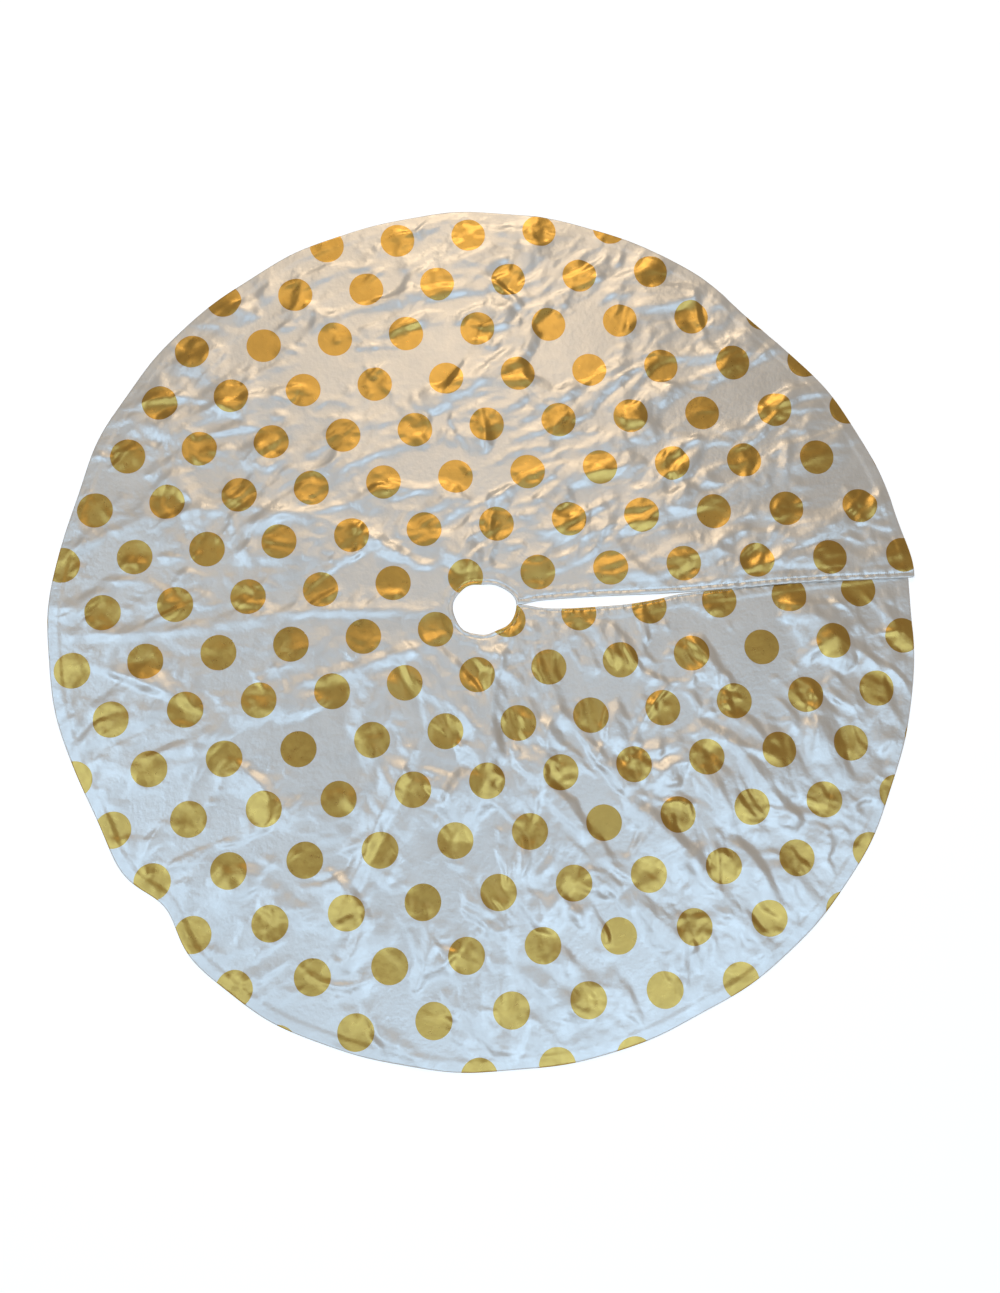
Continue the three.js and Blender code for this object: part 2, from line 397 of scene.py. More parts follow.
# Cell, height and lengthening of each layer of creases; a minus is a crease that dips.
CRUMPLE = ((0.090, 0.0050, 0.50), (0.050, -0.0034, 0.50), (0.029, 0.0022, 0.55), (0.016, -0.0009, 0.70))


def add_fold(height, x, y, centre, angle, length, left, right, rise, bow, blunt):
    """One ridge with a crest, a gentle and a steep side, tapering out at both ends."""
    reach = length / 2 + max(left, right) + abs(bow)
    near = (np.abs(x - centre[0]) < reach) & (np.abs(y - centre[1]) < reach)
    dx, dy = x[near] - centre[0], y[near] - centre[1]
    u = (dx * math.cos(angle) + dy * math.sin(angle)) / (length / 2)
    v = dy * math.cos(angle) - dx * math.sin(angle) - bow * (1 - u * u)
    taper = np.clip(1 - u * u, 0, 1) ** FOLD_TAPER
    away = (np.sqrt(v * v + blunt * blunt) - blunt) / np.where(v > 0, left, right)
    side = np.clip(1 - away, 0, 1)
    height[near] += rise * taper * side * (0.4 + side * (1.1 - 0.5 * side))


def fold_between(height, x, y, start, end, overrun, *shape):
    """A ridge from start to end that runs out a little beyond both."""
    along = np.subtract(end, start)
    centre = np.add(start, end) / 2
    angle = math.atan2(along[1], along[0])
    add_fold(height, x, y, centre, angle, overrun * math.hypot(*along), *shape)


def crumple_weight(x, y):
    """How strongly the cloth is crumpled: most at the back, a little less at the left."""
    back = 1 / (1 + np.exp(-(y - 0.02) / 0.05))
    left = 1 / (1 + np.exp((x + 0.30) / 0.07))
    return 0.80 + 0.20 * back - 0.04 * left


def scatter_folds(height, x, y, chance, count, lengths, widths, rises, blunt):
    """Random short folds, thickest where the cloth is most crumpled."""
    for _ in range(count):
        centre = chance.uniform(-SCATTER_HALF, SCATTER_HALF, 2)
        weight = float(crumple_weight(*centre))
        across = centre[1] > 0 or centre[0] < -0.2
        angle = chance.normal(BACK_TURN, 0.4) if across else chance.normal(FRONT_TURN, 0.7)
        if chance.random() < 0.25:
            angle = chance.uniform(0, math.pi)
        length = chance.uniform(*lengths)
        width = chance.uniform(*widths)
        skew = chance.uniform(0.35, 1.0)
        left, right = (width, width * skew) if chance.random() < 0.5 else (width * skew, width)
        rise = chance.uniform(*rises) * (1.0 if chance.random() < 0.65 else -0.8)
        bow = chance.normal(0, 0.10) * length
        if chance.random() < weight:
            rise *= 0.4 + 0.6 * weight
            add_fold(height, x, y, centre, angle, length, left, right, rise, bow, blunt)


def crumple(x, y, seed, turn):
    """Creases that meet in a network, drawn out along one direction, from coarse to fine."""
    u, v = math.cos(turn) * x + math.sin(turn) * y, math.cos(turn) * y - math.sin(turn) * x
    warp = WARP * noise(x, y, WARP_CELL, seed)
    total = 0
    for layer, (cell, rise, stretch) in enumerate(CRUMPLE):
        value = noise(stretch * u + warp, v - warp, cell, seed + layer + 1)
        total = total + rise * (0.45 - np.sqrt(value * value + 0.006) + 0.45 * value)
    return total


def wrinkles(x, y):
    """Height of the wrinkled cloth above the flat cloth, never below it."""
    seed = sizes().seed
    height = sum(rise * noise(x, y, cell, seed + k) for k, (rise, cell) in enumerate(SWELLS))
    for start, end, left, right, rise, bow in MAIN_FOLDS:
        shape = (left / 1000, right / 1000, rise / 1000, bow, MAIN_BLUNT)
        fold_between(height, x, y, start, end, MAIN_OVERRUN, *shape)
    for start, end in FRONT_BANDS:
        fold_between(height, x, y, start, end, BAND_OVERRUN, *BAND_SHAPE)
    chance = np.random.default_rng(seed + 2)
    for batch in SHORT_FOLDS:
        scatter_folds(height, x, y, chance, *batch)
    across = np.maximum(smooth((y - ACROSS_Y) / ACROSS_Y_FADE), smooth((ACROSS_X - x) / ACROSS_X_FADE))
    network = across * crumple(x, y, seed + 20, BACK_TURN)
    network = network + (1 - across) * crumple(x, y, seed + 30, FRONT_TURN)
    middle = bell(np.hypot(x - MIDDLE_X, y - MIDDLE_Y) / MIDDLE_REACH)
    height += (0.25 + 0.75 * crumple_weight(x, y)) * (1 + 0.9 * middle) * network
    height = (height + HEIGHT_LIFT) * sizes().wrinkle
    height = 0.5 * (height + np.sqrt(height * height + FLOOR_SOFTNESS ** 2))
    return MOST_HEIGHT * np.tanh(height / MOST_HEIGHT)


# ---- Heights of the two cloths ----

SEAM_Z = 0.0013
LINING_Z = 0.0005
FACE_Z = 0.0016
BULK = 0.0007
BULK_REACH = 0.015
ROUND_REACH = 0.0024
FLAP_LIFT = 0.0032
PUCKER = 0.0010
GROOVE = 0.0006
NEEDLE = 0.0008
STITCH = 0.0034
BULK_FADE = 0.003
PUCKER_CELL = 0.009
PUCKER_REACH = 0.008
GROOVE_WIDTH = 0.0011
FLAP_LIFT_REACH = 0.075
LAP_START = 0.24
LAP_FADE = 0.10
LINING_SHARE = 0.35
LEAST_GAP = 0.0003
# Share of the wrinkles left at an edge or a fold line, and how far in they are calmed.
RIM_CALM = (0.30, 0.030)
NECK_CALM = (0.25, 0.030)
SLIT_CALM = (0.22, 0.035)
HINGE_CALM = (0.45, 0.045)


def stitch_inset(half):
    return sizes().under_inset if half == "front" else sizes().slit_inset


def across_flap(x, y):
    """How far a point lies from the flap's fold line, less than 0 on the flap."""
    return (x - FLAP_FOOT[0]) * FLAP_ACROSS[0] + (y - FLAP_FOOT[1]) * FLAP_ACROSS[1]


def calmed(distance, share, reach):
    return share + (1 - share) * smooth(distance / reach)


def cloth_heights(half, x, y):
    """Heights of the face and the lining at points of one half."""
    rim, neck, slit = edge_distances(half, x, y)
    edge = np.maximum(np.minimum(np.minimum(rim, neck), slit), 0)
    calm = calmed(rim, *RIM_CALM) * calmed(neck, *NECK_CALM) * calmed(slit, *SLIT_CALM)
    on_flap_line = (x > 0) & (half == "back")
    calm = calm * np.where(on_flap_line, calmed(np.abs(across_flap(x, y)), *HINGE_CALM), 1)
    calm = calm * np.where(x < 0, calmed(np.abs(y - FOLD_Y), *HINGE_CALM), 1)
    lapped = smooth((x - LAP_START) / LAP_FADE)
    if half == "front":
        covered = smooth((y - over_y(x) + 0.034) / 0.026) * lapped * (x > 0)
        calm = calm * (1 - 0.85 * covered)
    crease = wrinkles(x, y) * calm
    bulk = BULK * (1 - smooth((edge - BULK_REACH) / BULK_FADE))
    turn = np.sqrt(1 - (1 - np.clip(edge / ROUND_REACH, 0, 1)) ** 2)
    seed = sizes().seed
    sewn = np.minimum(neck, slit)
    row = np.where(neck < slit, sizes().neck_inset, stitch_inset(half))
    pucker = PUCKER * noise(x, 0.6 * y, PUCKER_CELL, seed + 7) * bell((sewn - row) / PUCKER_REACH)
    walked = np.where(neck < slit, NECK_RADIUS * np.arctan2(y, x), x)
    holes = 0.5 + 0.5 * np.cos(2 * math.pi * walked / STITCH)
    groove = (GROOVE + NEEDLE * holes ** 2) * bell((sewn - row) / GROOVE_WIDTH)
    lift = 0
    if half == "back":
        lift = FLAP_LIFT * lapped * (1 - smooth((y - over_y(x)) / FLAP_LIFT_REACH)) * (x > 0)
        lift = lift * (1 + 0.25 * noise(x, y, 0.045, seed + 8))
    upper = FACE_Z + bulk + crease + pucker - groove
    face = SEAM_Z + np.maximum(upper - SEAM_Z, 0.0002) * turn + lift
    lower = LINING_Z + LINING_SHARE * crease
    lining = SEAM_Z - (SEAM_Z - lower) * turn + lift
    return face, np.minimum(lining, face - LEAST_GAP * turn)


# ---- Foil dots: staggered rows, drawn a little out of line by the way the skirt lies ----

# Where the rows start, in dot pitches.
LATTICE_X = 1.6788
LATTICE_Y = 1.690
LATTICE_ROWS = range(-12, 10)
LATTICE_PLACES = range(-14, 14)
SHARED_REACH = 0.03
PULL_BLEND = 0.2

# How far the dots are out of line, as terms of a quadratic: power of X, power of Y, metres, with X and Y
# over the cut radius. These four tables are the printed result of a least-squares fit, made by another
# script, to where the dots lie on the laid skirt, without its smallest terms. They weren't set by hand.
BACK_PULL_X = ((0, 0, -0.0039), (1, 1, 0.0111), (2, 0, 0.0096))
BACK_PULL_Y = ((0, 1, 0.0077), (0, 2, -0.0106), (1, 0, -0.0100), (2, 0, -0.0155), (1, 1, 0.0040))
FRONT_PULL_X = ((0, 1, 0.0047), (0, 2, 0.0096), (1, 0, -0.0152), (1, 1, -0.0273))
FRONT_PULL_Y = (
    (0, 0, 0.0068), (0, 1, -0.0173), (0, 2, -0.0337), (1, 0, 0.0064), (1, 1, -0.0112), (2, 0, -0.0098),
)


def pulled(terms, x, y):
    u, v = x / CUT_RADIUS, y / CUT_RADIUS
    return sum(amount * u ** a * v ** b for a, b, amount in terms)


def dot_centres(half):
    """Centres of the foil dots that touch one half."""
    pitch, row = sizes().dot_pitch, sizes().row_pitch
    centres = []
    for j in LATTICE_ROWS:
        y = -row * j - LATTICE_Y * pitch
        for i in LATTICE_PLACES:
            x = pitch * (i - 0.5 * j - LATTICE_X)
            own_side = y < SHARED_REACH if half == "front" else y > -SHARED_REACH
            if math.hypot(x, y) > CUT_RADIUS + pitch or not (own_side or x < 0):
                continue
            back = float(half == "back")
            if x < 0:
                back = float(smooth((y - FOLD_Y) / PULL_BLEND + 0.5))
            shift_x = back * pulled(BACK_PULL_X, x, y) + (1 - back) * pulled(FRONT_PULL_X, x, y)
            shift_y = back * pulled(BACK_PULL_Y, x, y) + (1 - back) * pulled(FRONT_PULL_Y, x, y)
            centres.append((x + shift_x, y + shift_y))
    return centres


# ---- Cutting the laid cloth into triangles ----

# Depths of the rows of points inside every edge, and further in beside the slit and the neck.
EDGE_ROWS = (0.0006, 0.0014, 0.0026)
SLIT_ROWS = (0.0042, 0.0056, 0.0066, 0.0078, 0.0090, 0.0108)
SLIT_ROWS_REACH = 0.013
OUTLINE_STEP = 0.0032
DOT_SIDES = 60
DOT_MARGIN = 0.0004
SAME_POINT = 1e-6
MERGE = 1e-7
LINING_COARSENESS = 2.0


class LaidCloth:
    """Points, triangles, heights and regions of one cloth, with both halves joined along the fold."""

    def __init__(self, kind, step):
        self.kind = kind
        points, triangles, heights, halves, dots = [], [], [], [], []
        start = 0
        for half in ("front", "back"):
            flat, faces, dot = self.panel(half, step)
            face, lining = cloth_heights(half, flat[:, 0], flat[:, 1])
            points.append(flat)
            heights.append(face if kind == "face" else lining)
            triangles.append(faces + start)
            dots.append(dot)
            halves.append(np.full(len(faces), half == "back"))
            start += len(flat)
        flat = np.concatenate(points)
        joined = np.concatenate(triangles)
        cell = np.round(flat / SAME_POINT).astype(np.int64)
        key = cell[:, 0] * 4000003 + cell[:, 1]
        on_fold = (np.abs(flat[:, 1] - FOLD_Y) < SAME_POINT) & (flat[:, 0] < 0)
        key = np.where(on_fold, key, -1 - np.arange(len(flat)))
        _, first, back = np.unique(key, return_index=True, return_inverse=True)
        self.flat = flat[first]
        self.height = np.concatenate(heights)[first]
        self.triangles = back.reshape(-1)[joined]
        self.on_back = np.concatenate(halves)
        self.dot = np.concatenate(dots)
        self.points = np.column_stack([self.flat, self.height])
        self.region = self.regions()
        self.normals = self.vertex_normals()

    def panel(self, half, step):
        """Flat points and triangles of one half, and which of the triangles are foil."""
        outline = panel_outline(half, min(step, OUTLINE_STEP))
        edges = [(i, (i + 1) % len(outline)) for i in range(len(outline))]
        centres = dot_centres(half) if self.kind == "face" else []
        radius = sizes().dot_width / 2
        loops = [outline, *self.dot_rings(half, centres, radius, len(outline), edges)]
        everything = np.concatenate(
            [*loops, *self.edge_rows(half, outline, step), self.inner_grid(half, centres, radius, step)])
        result = delaunay_2d_cdt([Vector(p) for p in everything], edges, [], 1, MERGE, False)
        flat = np.array([tuple(v) for v in result[0]])
        faces = np.array([tuple(f) for f in result[2]])
        middle = flat[faces].mean(1)
        dot = np.zeros(len(faces), bool)
        for centre in centres:
            dot |= np.hypot(middle[:, 0] - centre[0], middle[:, 1] - centre[1]) < radius
        a, b, c = flat[faces[:, 0]], flat[faces[:, 1]], flat[faces[:, 2]]
        area = (b[:, 0] - a[:, 0]) * (c[:, 1] - a[:, 1]) - (b[:, 1] - a[:, 1]) * (c[:, 0] - a[:, 0])
        faces[area < 0] = faces[area < 0][:, ::-1]
        sides = [np.linalg.norm(flat[faces[:, k]] - flat[faces[:, k - 1]], axis=1) for k in range(3)]
        longest = np.max(sides, axis=0)
        good = (np.abs(area) > 1e-12) & (self.depth_inside(half, middle) > -0.001)
        good &= longest < 2.5 * max(step, OUTLINE_STEP)
        on_edge = self.depth_inside(half, flat) < 0.0001
        good &= ~(on_edge[faces].all(axis=1) & (np.abs(area) < 0.1 * longest ** 2))
        return flat, faces[good], dot[good]

    def edge_rows(self, half, outline, step):
        """Rows of points that follow the outline at small depths."""
        rows = []
        turn = -1 if half == "front" else 1
        ahead = np.roll(outline, -1, 0) - np.roll(outline, 1, 0)
        ahead /= np.linalg.norm(ahead, axis=1)[:, None]
        for depth in EDGE_ROWS + SLIT_ROWS:
            row = outline + turn * depth * np.column_stack([-ahead[:, 1], ahead[:, 0]])
            rim, neck, slit = edge_distances(half, row[:, 0], row[:, 1])
            sewn = np.minimum(neck, slit)
            keep = np.minimum(rim, sewn) > 0.85 * depth
            keep &= (depth <= EDGE_ROWS[-1]) | (sewn < SLIT_ROWS_REACH)
            fold_side = (row[:, 0] < 0) & (np.abs(row[:, 1] - FOLD_Y) < 0.5 * step + depth)
            rows.append(row[keep & ~fold_side])
        return rows

    def dot_rings(self, half, centres, radius, count, edges):
        """The round edges of the dots. Their edges are added to the list, and count is the first index."""
        rings = []
        for centre in centres:
            angle = np.linspace(0, 2 * math.pi, DOT_SIDES, endpoint=False)
            ring = np.column_stack([centre[0] + radius * np.cos(angle), centre[1] + radius * np.sin(angle)])
            inside = self.depth_inside(half, ring) > DOT_MARGIN
            index = np.cumsum(inside) - 1 + count
            for k in range(len(ring)):
                following = (k + 1) % len(ring)
                if inside[k] and inside[following]:
                    edges.append((int(index[k]), int(index[following])))
            rings.append(ring[inside])
            count += int(inside.sum())
        return rings

    def inner_grid(self, half, centres, radius, step):
        """Grid points clear of the edge rows and of the edges of the dots."""
        grid = self.hexagon_grid(step)
        depth = self.depth_inside(half, grid)
        sewn = np.minimum(*edge_distances(half, grid[:, 0], grid[:, 1])[1:])
        keep = (depth > EDGE_ROWS[-1] + 0.5 * step) & (sewn > SLIT_ROWS[-1] + 0.4 * step)
        for centre in centres:
            away = np.abs(np.hypot(grid[:, 0] - centre[0], grid[:, 1] - centre[1]) - radius)
            keep &= away > 0.5 * step
        return grid[keep]

    @staticmethod
    def depth_inside(half, points):
        x, y = points[:, 0], points[:, 1]
        rim, neck, slit = edge_distances(half, x, y)
        fold = np.where(x < 0, (FOLD_Y - y) if half == "front" else (y - FOLD_Y), np.inf)
        return np.minimum(np.minimum(rim, neck), np.minimum(slit, fold))

    @staticmethod
    def hexagon_grid(step):
        reach = 1.06 * CUT_RADIUS
        rows = np.arange(-reach, reach, step * math.sqrt(3) / 2)
        columns = np.arange(-reach, reach, step)
        x, y = np.meshgrid(columns, rows)
        x = x + 0.5 * step * (np.arange(len(rows)) % 2)[:, None]
        return np.column_stack([x.ravel(), y.ravel()])

    def regions(self):
        """Which moving panel, or which bend between two panels, each triangle belongs to."""
        middle = self.flat[self.triangles].mean(1)
        x, y = middle[:, 0], middle[:, 1]
        across = across_flap(x, y)
        region = np.where(self.on_back, "back", "front")
        near_fold = (x < 0) & (np.abs(y - FOLD_Y) < FOLD_REACH + STRIP_SPARE)
        region[near_fold] = "fold"
        flap_side = self.on_back & (x > 0)
        region[flap_side & (across < FLAP_REACH + STRIP_SPARE)] = "bend"
        region[flap_side & (across < -FLAP_REACH - STRIP_SPARE)] = "flap"
        return region

    def vertex_normals(self):
        corner = self.points[self.triangles]
        facing = np.cross(corner[:, 1] - corner[:, 0], corner[:, 2] - corner[:, 0])
        normals = np.zeros_like(self.points)
        for k in range(3):
            np.add.at(normals, self.triangles[:, k], facing)
        return normals / np.linalg.norm(normals, axis=1)[:, None]


def laid_cloth(kind):
    """The laid face or lining."""
    step = sizes().mesh_step
    step = step * (LINING_COARSENESS if kind == "lining" else 1) * 1
    return LaidCloth(kind, step)


# ---- Making pieces ----

BODIES = {"front": "front_half", "back": "back_half", "flap": "over_flap"}


def cloth_piece(name, cloth, mask, material, raise_by=0.0, underside=False):
    """A mesh of the chosen triangles, with normals taken from the whole cloth."""
    triangles = cloth.triangles[mask]
    used, local = np.unique(triangles, return_inverse=True)
    triangles = local.reshape(-1, 3)
    points = cloth.points[used] + raise_by * cloth.normals[used]
    normals = cloth.normals[used]
    if underside:
        triangles = triangles[:, ::-1]
        normals = -normals
    mesh = bpy.data.meshes.new(name)
    mesh.vertices.add(len(points))
    mesh.vertices.foreach_set("co", points.astype(np.float32).ravel())
    mesh.loops.add(3 * len(triangles))
    mesh.loops.foreach_set("vertex_index", triangles.astype(np.int32).ravel())
    mesh.polygons.add(len(triangles))
    mesh.polygons.foreach_set("loop_start", np.arange(0, 3 * len(triangles), 3, dtype=np.int32))
    layer = mesh.uv_layers.new(name="cloth")
    flat = cloth.flat[used][triangles.ravel()]
    layer.data.foreach_set("uv", flat.astype(np.float32).ravel())
    mesh.update()
    mesh.validate()
    mesh.shade_smooth()
    mesh.normals_split_custom_set_from_vertices(normals.astype(np.float32).tolist())
    mesh.materials.append(material)
    piece = bpy.data.objects.new(name, mesh)
    bpy.context.collection.objects.link(piece)
    return piece


def hang(piece, region):
    """Gives a piece its body, or, for a fold or bend piece, only bakes its transform in place."""
    if region == "fold":
        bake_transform(piece)
    elif region == "bend":
        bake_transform(piece)
    else:
        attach(piece, BODIES[region])


def material_nodes(name):
    material = bpy.data.materials.new("skirt_" + name)
    material.use_nodes = True
    tree = material.node_tree
    shader = next(n for n in tree.nodes if n.type == "BSDF_PRINCIPLED")
    return material, tree, shader


def add_node(tree, kind, **settings):
    node = tree.nodes.new(kind)
    for key, value in settings.items():
        if hasattr(node, key):
            setattr(node, key, value)
        else:
            node.inputs[key.replace("_", " ")].default_value = value
    return node


def cloth_coordinates(tree, scale):
    """The flat cloth's own coordinates, in metres, times a scale for each axis."""
    where = add_node(tree, "ShaderNodeUVMap", uv_map="cloth")
    stretch = add_node(tree, "ShaderNodeMapping")
    stretch.inputs["Scale"].default_value = scale
    tree.links.new(where.outputs["UV"], stretch.inputs["Vector"])
    return stretch.outputs["Vector"]


def pattern(tree, scale, detail, roughness=0.5, stretch=(1, 1, 1)):
    """Noise over the flat cloth."""
    node = add_node(tree, "ShaderNodeTexNoise", Scale=scale, Detail=detail, Roughness=roughness)
    tree.links.new(cloth_coordinates(tree, stretch), node.inputs["Vector"])
    return node.outputs["Fac"]


def ranged(tree, value, low, high):
    node = add_node(tree, "ShaderNodeMapRange", From_Min=0.3, From_Max=0.7, To_Min=low, To_Max=high)
    tree.links.new(value, node.inputs["Value"])
    return node.outputs["Result"]


def tinted(tree, value, colour, low, high):
    """A colour that varies from low to high times itself."""
    node = add_node(tree, "ShaderNodeMix", data_type="RGBA")
    shares = {"A": low, "B": high}
    for socket in node.inputs:
        if socket.type == "RGBA" and socket.name in shares:
            socket.default_value = (*[min(1, shares[socket.name] * c) for c in colour], 1)
    tree.links.new(ranged(tree, value, 0.0, 1.0), node.inputs["Factor"])
    return next(s for s in node.outputs if s.type == "RGBA")


def paint(tree, shader, value, colour, low, high):
    tree.links.new(tinted(tree, value, colour, low, high), shader.inputs["Base Color"])


def polish(tree, shader, value, low, high):
    tree.links.new(ranged(tree, value, low, high), shader.inputs["Roughness"])


def bumps(tree, shader, layers):
    """Stacks bump layers of (height socket, strength, distance)."""
    normal = None
    for height, strength, distance in layers:
        node = add_node(tree, "ShaderNodeBump", Strength=strength, Distance=distance)
        tree.links.new(height, node.inputs["Height"])
        if normal:
            tree.links.new(normal, node.inputs["Normal"])
        normal = node.outputs["Normal"]
    tree.links.new(normal, shader.inputs["Normal"])


def weave(tree, across, along):
    """Fine parallel floats of a satin weave."""
    return pattern(tree, 1.0, 1.0, 0.4, (along, across, 1))


def satin_material():
    material, tree, shader = material_nodes("satin")
    paint(tree, shader, pattern(tree, 9, 3), colours().satin, 0.97, 1.03)
    polish(tree, shader, pattern(tree, 45, 4), 0.34, 0.44)
    shader.inputs["Metallic"].default_value = 0.68
    shader.inputs["Specular IOR Level"].default_value = 0.8
    bumps(tree, shader, (
        (pattern(tree, 150, 3, 0.5), 0.5, 0.0009),
        (weave(tree, 2600, 300), 0.25, 0.00006),
    ))
    return material


def lining_material():
    material, tree, shader = material_nodes("lining_cloth")
    paint(tree, shader, pattern(tree, 12, 3), colours().lining, 0.95, 1.03)
    polish(tree, shader, pattern(tree, 60, 3), 0.62, 0.78)
    shader.inputs["Sheen Weight"].default_value = 0.15
    bumps(tree, shader, (
        (pattern(tree, 80, 4, 0.6), 0.5, 0.0010),
        (weave(tree, 1500, 1500), 0.35, 0.00008),
    ))
    return material


def foil_material():
    material, tree, shader = material_nodes("gold_foil")
    paint(tree, shader, pattern(tree, 30, 4), colours().foil, 0.93, 1.06)
    polish(tree, shader, pattern(tree, 90, 5, 0.6), 0.26, 0.37)
    shader.inputs["Metallic"].default_value = 1.0
    shader.inputs["Coat Weight"].default_value = 0.4
    shader.inputs["Coat Roughness"].default_value = 0.22
    bumps(tree, shader, (
        (pattern(tree, 110, 4, 0.6), 0.35, 0.0008),
        (weave(tree, 1500, 120), 0.30, 0.00006),
    ))
    return material


def thread_material():
    material, tree, shader = material_nodes("white_thread")
    coordinates = add_node(tree, "ShaderNodeTexCoord")
    ply = add_node(tree, "ShaderNodeTexNoise", Scale=2400.0, Detail=2.0)
    tree.links.new(coordinates.outputs["Object"], ply.inputs["Vector"])
    paint(tree, shader, ply.outputs["Fac"], colours().thread, 0.88, 1.05)
    shader.inputs["Roughness"].default_value = 0.55
    shader.inputs["Sheen Weight"].default_value = 0.2
    bumps(tree, shader, ((ply.outputs["Fac"], 0.4, 0.0001),))
    return material


def finish(name):
    """One shared material for each finish."""
    makers = {
        "satin": satin_material,
        "lining_cloth": lining_material,
        "gold_foil": foil_material,
        "white_thread": thread_material,
    }
    return bpy.data.materials.get("skirt_" + name) or makers[name]()


# ---- Stitches: thread bars along a path, by Geometry Nodes ----

def stitch_tree():
    """Bars of thread, one at each step along the path, lying along it."""
    tree = bpy.data.node_groups.new("stitches", "GeometryNodeTree")
    face = tree.interface
    face.new_socket("Geometry", in_out="INPUT", socket_type="NodeSocketGeometry")
    for name in ("Pitch", "Bar length", "Thread"):
        face.new_socket(name, in_out="INPUT", socket_type="NodeSocketFloat")
    face.new_socket("Material", in_out="INPUT", socket_type="NodeSocketMaterial")
    face.new_socket("Geometry", in_out="OUTPUT", socket_type="NodeSocketGeometry")
    nodes, link = tree.nodes, tree.links.new
    start = nodes.new("NodeGroupInput")
    end = nodes.new("NodeGroupOutput")
    to_curve = nodes.new("GeometryNodeMeshToCurve")
    resample = nodes.new("GeometryNodeResampleCurve")
    resample.mode = "LENGTH"
    tangent = nodes.new("GeometryNodeInputTangent")
    turn = nodes.new("FunctionNodeAlignRotationToVector")
    turn.axis = "X"
    bar = nodes.new("GeometryNodeMeshUVSphere")
    bar.inputs["Segments"].default_value = 6
    bar.inputs["Rings"].default_value = 4
    bar.inputs["Radius"].default_value = 0.5
    size = nodes.new("ShaderNodeCombineXYZ")
    place = nodes.new("GeometryNodeInstanceOnPoints")
    realize = nodes.new("GeometryNodeRealizeInstances")
    paint = nodes.new("GeometryNodeSetMaterial")
    link(start.outputs["Geometry"], to_curve.inputs["Mesh"])
    link(to_curve.outputs["Curve"], resample.inputs["Curve"])
    link(start.outputs["Pitch"], resample.inputs["Length"])
    link(resample.outputs["Curve"], place.inputs["Points"])
    link(tangent.outputs["Tangent"], turn.inputs["Vector"])
    link(turn.outputs["Rotation"], place.inputs["Rotation"])
    link(bar.outputs["Mesh"], place.inputs["Instance"])
    link(start.outputs["Bar length"], size.inputs["X"])
    link(start.outputs["Thread"], size.inputs["Y"])
    link(start.outputs["Thread"], size.inputs["Z"])
    link(size.outputs["Vector"], place.inputs["Scale"])
    link(place.outputs["Instances"], realize.inputs["Geometry"])
    link(realize.outputs["Geometry"], paint.inputs["Geometry"])
    link(start.outputs["Material"], paint.inputs["Material"])
    link(paint.outputs["Geometry"], end.inputs["Geometry"])
    return tree


def stitched_piece(name, paths, pitch, bar, thread):
    """Stitches along several paths, as one plain mesh."""
    points = np.concatenate(paths)
    edges, start = [], 0
    for path in paths:
        edges += [(start + i, start + i + 1) for i in range(len(path) - 1)]
        start += len(path)
    guide_mesh = bpy.data.meshes.new(name + "_guide")
    guide_mesh.from_pydata(points.tolist(), edges, [])
    guide = bpy.data.objects.new(name + "_guide", guide_mesh)
    bpy.context.collection.objects.link(guide)
    modifier = guide.modifiers.new("stitches", "NODES")
    modifier.node_group = bpy.data.node_groups.get("stitches") or stitch_tree()
    inputs = {"Pitch": pitch, "Bar length": bar, "Thread": thread, "Material": finish("white_thread")}
    for item in modifier.node_group.interface.items_tree:
        if item.in_out == "INPUT" and item.name in inputs:
            modifier[item.identifier] = inputs[item.name]
    graph = bpy.context.evaluated_depsgraph_get()
    mesh = bpy.data.meshes.new_from_object(guide.evaluated_get(graph))
    mesh.name = name
    bpy.data.objects.remove(guide)
    mesh.shade_smooth()
    piece = bpy.data.objects.new(name, mesh)
    bpy.context.collection.objects.link(piece)
    return piece


def on_cloth(half, flat, above):
    """Points on the face of one half, raised a little along Z."""
    face, _ = cloth_heights(half, flat[:, 0], flat[:, 1])
    return np.column_stack([flat, face + above])


def split_by_region(half, flat):
    """Cuts a path on one half into runs that lie in one region each."""
    x, y = flat[:, 0], flat[:, 1]
    across = across_flap(x, y)
    label = np.full(len(flat), half, dtype="<U5")
    label[(x < 0) & (np.abs(y - FOLD_Y) < FOLD_REACH)] = "fold"
    if half == "back":
        label[(x > 0) & (across < FLAP_REACH)] = "bend"
        label[(x > 0) & (across < -FLAP_REACH)] = "flap"
    cuts = [0] + [i for i in range(1, len(flat)) if label[i] != label[i - 1]] + [len(flat)]
    return [(label[a], slice(a, b)) for a, b in zip(cuts, cuts[1:]) if b - a > 1]


ROW_STEP = 0.0015
RIM_CLEAR = 0.003


def moved_edge(half, inset):
    """The slit edge of one half, moved into the cloth."""
    edge = slit_edge(half)
    shift = -inset if half == "front" else inset
    return lambda x: edge(x) + shift


def slit_row(half, inset):
    """The row of stitches beside the slit of one half."""
    moved = moved_edge(half, inset)

    def inner(angle):
        return neck_radius(angle) + sizes().neck_inset

    def outer(angle):
        return rim_radius(angle, half == "back") - RIM_CLEAR

    return run(moved, crossing_x(moved, inner), crossing_x(moved, outer), ROW_STEP)


def neck_row(half, inset, slit_inset):
    """The row of stitches round the neck of one half."""
    moved = moved_edge(half, slit_inset)

    def inner(angle):
        return neck_radius(angle) + inset

    start = angle_at(moved, crossing_x(moved, inner))
    end = angle_at(fold_y, crossing_x(fold_y, inner, -1))
    return sweep(inner, start, end + round_turn(half), ROW_STEP)


